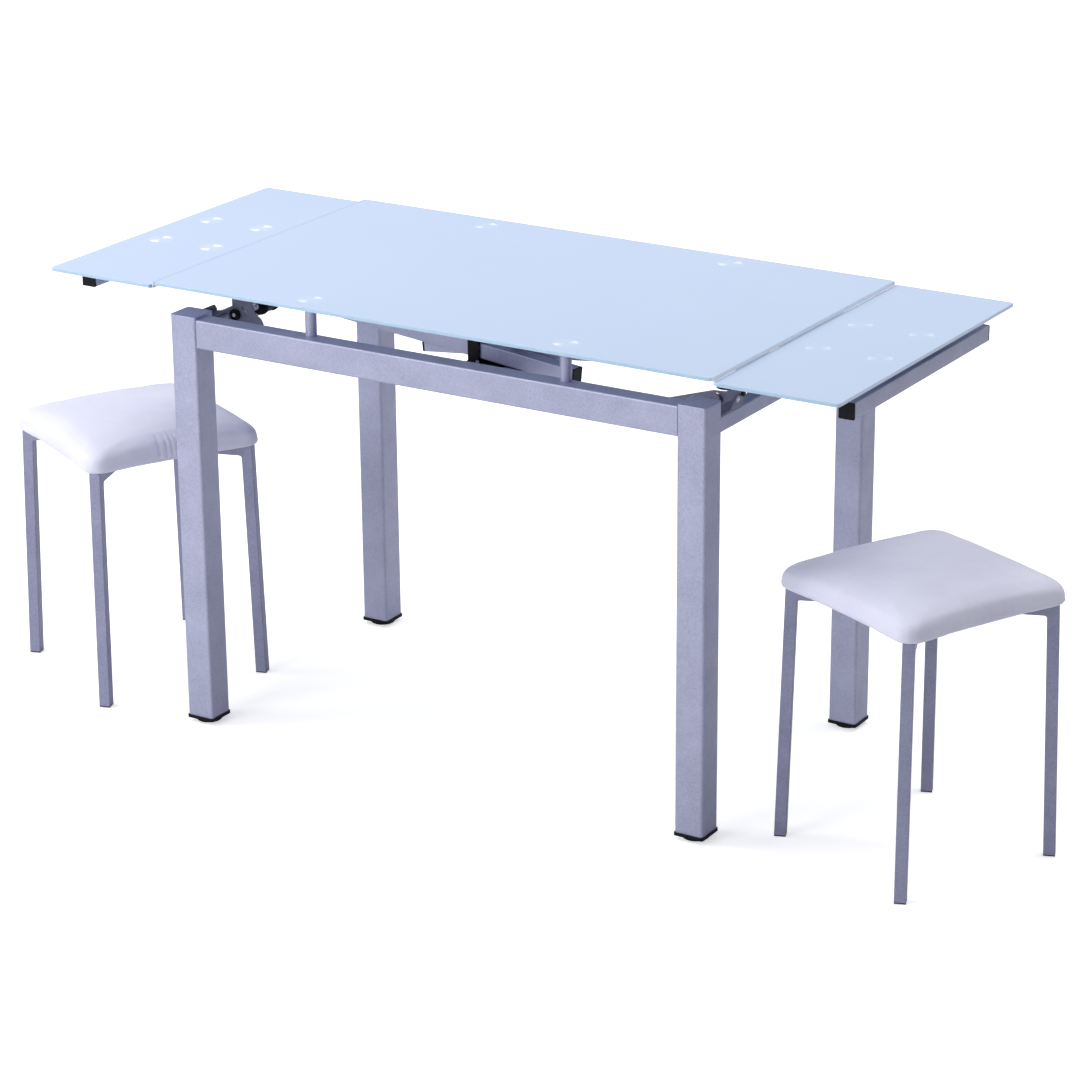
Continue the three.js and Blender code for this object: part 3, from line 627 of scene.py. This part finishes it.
def make_cushions():
    pad = bpy.data.objects.new("pad", seat_shape())
    bpy.context.scene.collection.objects.link(pad)
    swell(pad)
    smooth = pad.modifiers.new("smooth", "SUBSURF")
    smooth.levels = smooth.render_levels = 1
    apply_modifier(pad, "smooth")
    wrinkle(pad)
    hollow_below(pad)
    for side, angle in STOOL_TURNS.items():
        low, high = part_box(f"stool_{side}_cushion")
        middle = (low + high) / 2
        middle.z = 0
        mesh = pad.data.copy()
        mesh.transform(Matrix.Translation(middle) @ Matrix.Rotation(math.radians(angle), 4, "Z"))
        cushion = add_mesh(f"cushion_{side}", mesh, LEATHER, f"{side}_stool")
        mesh.set_sharp_from_angle(angle=math.radians(50))
        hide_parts(f"stool_{side}_cushion")
    bpy.data.objects.remove(pad)


# Turned fastenings

def lathe(name, profile, steps=24):
    """A turned part about its Z axis, from (radius, height) pairs that run up its outside."""
    shape = bmesh.new()
    rows = []
    for radius, height in profile:
        if radius == 0:
            rows.append([shape.verts.new((0, 0, height))])
            continue
        angles = [i / steps * 2 * math.pi for i in range(steps)]
        rows.append([shape.verts.new((radius * math.cos(a), radius * math.sin(a), height)) for a in angles])
    for low, high in zip(rows, rows[1:]):
        for i in range(steps):
            j = (i + 1) % steps
            corners = [low[i % len(low)], low[j % len(low)], high[j % len(high)], high[i % len(high)]]
            shape.faces.new(list(dict.fromkeys(corners)))
    return from_bmesh(name, shape)


def bolt_profile(radius, height):
    """Half outline of a bolt head on a thin washer, with a dimple in its face."""
    soft = 0.25 * height
    return [(0, 0), (1.35 * radius, 0), (1.35 * radius, soft), (radius, soft), (radius, height - soft),
            (radius - soft, height), (0.55 * radius, height), (0.4 * radius, height - soft),
            (0, height - soft)]


def nut_profile(radius, height, stud):
    """Half outline of a nut with the rounded end of its bolt."""
    soft = 0.2 * height
    return [(0, 0), (radius, 0), (radius, height - soft), (radius - soft, height), (stud, height),
            (stud, 2.3 * height), (0.7 * stud, 2.5 * height), (0, 2.5 * height)]


def stop_profile(radius, height):
    """Half outline of a moulded stop with a rounded face."""
    soft = 0.4 * height
    points = [(0, 0), (radius, 0), (radius, height - soft)]
    for step in range(1, 5):
        bend = step / 4 * QUARTER
        points.append((radius - soft * (1 - math.cos(bend)), height - soft + soft * math.sin(bend)))
    return points + [(0, height)]


# Heads of the roller shafts, and the caps over them.
HEAD_THICK = 0.004
CAP_INSIDE = 0.0069
CAP_THICK = 0.005
CAP_SLACK = 0.0002
CAP_SOFT = 0.0008


def cap_profile(radius):
    """Half outline of a cap that fits over the head of a roller shaft."""
    roof = HEAD_THICK + CAP_SLACK
    return [(0, roof), (CAP_INSIDE, roof), (CAP_INSIDE, 0), (radius, 0), (radius, CAP_THICK - CAP_SOFT),
            (radius - CAP_SOFT, CAP_THICK), (0, CAP_THICK)]


def fasten(name, profile, at, direction, material, body, stretch=(1, 1, 1)):
    """Sets a turned part on a face. It is at a place on the table and points along the direction."""
    mesh = lathe(name, profile)
    mesh.transform(Matrix.Diagonal((*stretch, 1)))
    turn = Vector(direction).to_track_quat("Z", "Y").to_matrix().to_4x4()
    mesh.transform(Matrix.Translation(MIDDLE + Vector(at)) @ turn)
    add_mesh(name, mesh, material, body)
    mesh.set_sharp_from_angle(angle=math.radians(35))


# How far fastenings stand clear of the face that they sit on.
CLEAR = 0.0002
HAIR = 0.0001

# Places at the left end of the table.
HOOK_NUT_Y, HOOK_NUT_Z = -0.1790, 0.6640
LEVER_STOP_Y, LEVER_STOP_Z = 0.1660, 0.6895
LEVER_BOLT_Y, LEVER_BOLT_Z = 0.1815, 0.6835
LEAF_PAD_X, LEAF_PAD_Y = -0.5190, 0.2875


def turned(side, x, y, z):
    """A place or a direction of the left end. The right end is the left one turned half round."""
    sign = {"left": 1, "right": -1}[side]
    return Vector((sign * x, sign * y, z))


def make_shaft_caps(side):
    """A black cap with a bolt on the hook's end of a roller shaft, and a steel one on the lever's."""
    low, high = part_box(f"shaft_{side}")
    axle = (low + high) / 2 - MIDDLE
    cap_foot = (high.y - low.y) / 2 - HEAD_THICK + CLEAR + HAIR
    body = f"{side}_lift"

    def on_axle(y):
        return Vector((axle.x, turned(side, 0, y, 0).y, axle.z))

    fasten(f"hook_cap_{side}", cap_profile(radius=0.0095),
           on_axle(-cap_foot), turned(side, 0, -1, 0), BLACK, body)
    fasten(f"hook_cap_bolt_{side}", bolt_profile(radius=0.0024, height=0.0020),
           on_axle(-cap_foot - CAP_THICK - HAIR), turned(side, 0, -1, 0), ZINC, body)
    fasten(f"lever_cap_{side}", cap_profile(radius=0.0090),
           on_axle(cap_foot), turned(side, 0, 1, 0), SHADED_BRACKET_STEEL, body)


def make_bracket_bolts(side):
    """The nut of the hook, and the black stop and the bolt of the lever, all on the end rail."""
    low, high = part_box("rail_left_end")
    inner, outer = high.x - MIDDLE.x + CLEAR, low.x - MIDDLE.x - CLEAR
    body = "table_frame"
    fasten(f"hook_nut_{side}", bolt_profile(radius=0.0036, height=0.0030),
           turned(side, inner, HOOK_NUT_Y, HOOK_NUT_Z), turned(side, 1, 0, 0), ZINC, body)
    fasten(f"lever_stop_{side}", stop_profile(radius=0.0050, height=0.0040),
           turned(side, outer, LEVER_STOP_Y, LEVER_STOP_Z), turned(side, -1, 0, 0), BLACK, body)
    fasten(f"lever_bolt_{side}", bolt_profile(radius=0.0034, height=0.0030),
           turned(side, outer, LEVER_BOLT_Y, LEVER_BOLT_Z), turned(side, -1, 0, 0), ZINC, body)


def make_leaf_pad(side):
    """A black pad under one corner of a leaf, beside the seam."""
    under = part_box(f"glass_{side}_leaf")[0].z - CLEAR
    fasten(f"leaf_pad_{side}", stop_profile(radius=0.0090, height=0.0036),
           turned(side, LEAF_PAD_X, LEAF_PAD_Y, under), (0, 0, -1), BLACK, f"{side}_leaf",
           stretch=(1.45, 1, 1))


def make_guide_screws(side):
    """A screw in the foot of each guide, and the nut of a bolt through the channel beside it."""
    foot_thick, screw_inset = 0.0050, 0.0078
    nut_inset, nut_beside = 0.0245, 0.0055
    for depth in ("front", "rear"):
        low, high = (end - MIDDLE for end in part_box(f"guide_{side}_{depth}"))
        near, far = (low, high) if side == "left" else (high, low)
        foot = Vector((far.x, (low.y + high.y) / 2, low.z))
        fasten(f"guide_screw_{side}_{depth}", bolt_profile(radius=0.0034, height=0.0025),
               foot + turned(side, -screw_inset, 0, foot_thick + HAIR), (0, 0, 1), BLACK, "table_frame")
        corner = Vector((near.x, near.y, low.z))
        fasten(f"guide_nut_{side}_{depth}", nut_profile(radius=0.0042, height=0.0042, stud=0.0026),
               corner + turned(side, nut_inset, -nut_beside, HAIR), (0, 0, 1), ZINC, "table_frame")


def make_fastenings():
    for side in ("left", "right"):
        make_shaft_caps(side)
        make_bracket_bolts(side)
        make_leaf_pad(side)
    for side in ("left", "right"):
        make_guide_screws(side)


# Stool tube, through which the seat screw passes.
STOOL_TUBE = 0.018


def make_seat_screws():
    """A screw up through the crossing of each stool's frame into its board."""
    for side in STOOL_TURNS:
        low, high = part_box(f"stool_{side}_frame")
        at = (low + high) / 2 - MIDDLE
        at.z = high.z - STOOL_TUBE - CLEAR
        fasten(f"seat_screw_{side}", bolt_profile(radius=0.0045, height=0.0028), at, (0, 0, -1), ZINC,
               f"{side}_stool")


# Seam strips

STRIP_WIDE = 0.00115
STRIP_SOFT = 0.0003
STRIP_FROM_CORNER = 0.003


def strip(name, edge, out, foot, top, body):
    """A soft strip along a glass edge: edge is the glass's end in x, and out the way that it looks."""
    section = [(HAIR, foot), (STRIP_WIDE, foot), (STRIP_WIDE, top - STRIP_SOFT),
               (STRIP_WIDE - STRIP_SOFT, top), (HAIR, top)]
    ends = (centre_low.y + STRIP_FROM_CORNER, centre_high.y - STRIP_FROM_CORNER)
    shape = bmesh.new()
    rows = [[shape.verts.new((edge + out * x, y, z)) for x, z in section] for y in ends]
    count = len(section)
    for i in range(count):
        j = (i + 1) % count
        shape.faces.new((rows[0][i], rows[0][j], rows[1][j], rows[1][i]))
    for row in rows:
        shape.faces.new(row)
    add_mesh(name, from_bmesh(name, shape), STRIP, body, smooth=False)


def make_seam_strips():
    """Soft strips on the middle glass and on each leaf, which together fill the seam between them."""
    hang, centre_top_gap, leaf_top_gap = 0.00025, 0.0003, 0.00005
    for side, out, edge in (("left", -1, centre_low.x), ("right", 1, centre_high.x)):
        strip(f"seam_strip_{side}", edge, out, centre_low.z - hang, centre_high.z - centre_top_gap,
              "table_frame")
        leaf_low, leaf_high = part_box(f"glass_{side}_leaf")
        inner = leaf_high.x if out < 0 else leaf_low.x
        strip(f"leaf_strip_{side}", inner, -out, leaf_low.z + CLEAR, leaf_high.z - leaf_top_gap,
              f"{side}_leaf")


# Camera, light and floor

def make_camera():
    """The camera of the photo, worked out from the table's straight edges."""
    data = bpy.data.cameras.new("camera")
    camera = bpy.data.objects.new("camera", data)
    bpy.context.scene.collection.objects.link(camera)
    data.sensor_width = 36
    data.lens = 119.311
    data.shift_x = -0.06074
    data.shift_y = 0.06568
    data.clip_start = 0.1
    data.clip_end = 200
    yaw, pitch, roll = -0.534538, 0.368716, -0.001439
    spot = Vector((2.881205, -4.61535, 2.295378))
    ahead = Vector((math.sin(yaw) * math.cos(pitch), math.cos(yaw) * math.cos(pitch), -math.sin(pitch)))
    right = Vector((math.cos(yaw), -math.sin(yaw), 0))
    up = right.cross(ahead)
    turned_right = right * math.cos(roll) + up * math.sin(roll)
    turned_up = up * math.cos(roll) - right * math.sin(roll)
    basis = Matrix((turned_right, turned_up, -ahead)).transposed().to_4x4()
    camera.matrix_world = Matrix.Translation(MIDDLE + spot) @ basis
    bpy.context.scene.camera = camera


def soft_box(name, spot, target, size, power):
    data = bpy.data.lights.new(name, "AREA")
    data.shape = "RECTANGLE"
    data.size, data.size_y = size
    data.energy = power
    lamp = bpy.data.objects.new(name, data)
    bpy.context.scene.collection.objects.link(lamp)
    lamp.location = spot
    lamp.rotation_euler = (Vector(target) - Vector(spot)).to_track_quat("-Z", "Y").to_euler()


def make_lamps():
    middle = (0, 0, 0.45)
    soft_box("key_left", (-4.2, -2.4, 2.6), middle, size=(2.2, 2.2), power=55)
    soft_box("key_front", (-1.6, -4.6, 2.1), middle, size=(2.6, 2.2), power=104)
    soft_box("top_left", (-1.9, -0.4, 3.6), (-0.3, 0, 0.5), size=(2.4, 2.4), power=74)
    soft_box("top_right", (1.6, 1.2, 3.8), (0.3, 0, 0.5), size=(2.4, 2.4), power=62)
    soft_box("back", (-1.0, 4.6, 2.4), (0, 0, 0.6), size=(3.0, 2.0), power=10)


def make_world():
    """Soft light all round, and plain white for the camera, for reflections and through glass."""
    scene = bpy.context.scene
    scene.view_settings.view_transform = "Standard"
    world = bpy.data.worlds.new("studio")
    scene.world = world
    world.use_nodes = True
    tree = world.node_tree
    tree.nodes.clear()
    path = node(tree, "ShaderNodeLightPath")
    seen = math_node(tree, "MAXIMUM", path.outputs["Is Camera Ray"], path.outputs["Is Transmission Ray"])
    seen = math_node(tree, "MAXIMUM", seen, path.outputs["Is Glossy Ray"])
    soft = node(tree, "ShaderNodeBackground", {"Color": (0.93, 0.95, 1, 1), "Strength": 0.25})
    white = node(tree, "ShaderNodeBackground", {"Color": (1, 1, 1, 1), "Strength": 1})
    mix = node(tree, "ShaderNodeMixShader", {0: seen, 1: soft.outputs[0], 2: white.outputs[0]})
    node(tree, "ShaderNodeOutputWorld", {0: mix.outputs[0]})


def make_floor():
    """A pale floor that keeps the object's shadow and turns plain white further away."""
    half, below, near, far = 30, 0.001, 1.5, 4.0
    shape = bmesh.new()
    bmesh.ops.create_grid(shape, x_segments=1, y_segments=1, size=half)
    mesh = from_bmesh("floor", shape)
    floor = bpy.data.objects.new("floor", mesh)
    bpy.context.scene.collection.objects.link(floor)
    floor.location.z = -below
    material, tree, shader = new_material("floor")
    shader.inputs["Base Color"].default_value = (0.86, 0.86, 0.88, 1)
    shader.inputs["Roughness"].default_value = 0.9
    shader.inputs["Specular IOR Level"].default_value = 0.1
    away = node(tree, "ShaderNodeVectorMath", {0: place(tree)}, operation="LENGTH").outputs["Value"]
    strength = spread(tree, away, (near, far), (0.55, 1))
    glow = node(tree, "ShaderNodeEmission", {"Color": (1, 1, 1, 1), "Strength": strength})
    dark = node(tree, "ShaderNodeEmission", {"Color": (0, 0, 0, 1), "Strength": 0})
    seen = node(tree, "ShaderNodeLightPath").outputs["Is Camera Ray"]
    gate = node(tree, "ShaderNodeMixShader", {0: seen, 1: dark.outputs[0], 2: glow.outputs[0]})
    both = node(tree, "ShaderNodeAddShader", {0: shader.outputs[0], 1: gate.outputs[0]})
    out = next(n for n in tree.nodes if n.type == "OUTPUT_MATERIAL")
    tree.links.new(both.outputs[0], out.inputs["Surface"])
    mesh.materials.append(material)


make_camera()
make_lamps()
make_world()
make_floor()
dress_nodes()
make_cushions()
make_fastenings()
make_seam_strips()
make_seat_screws()
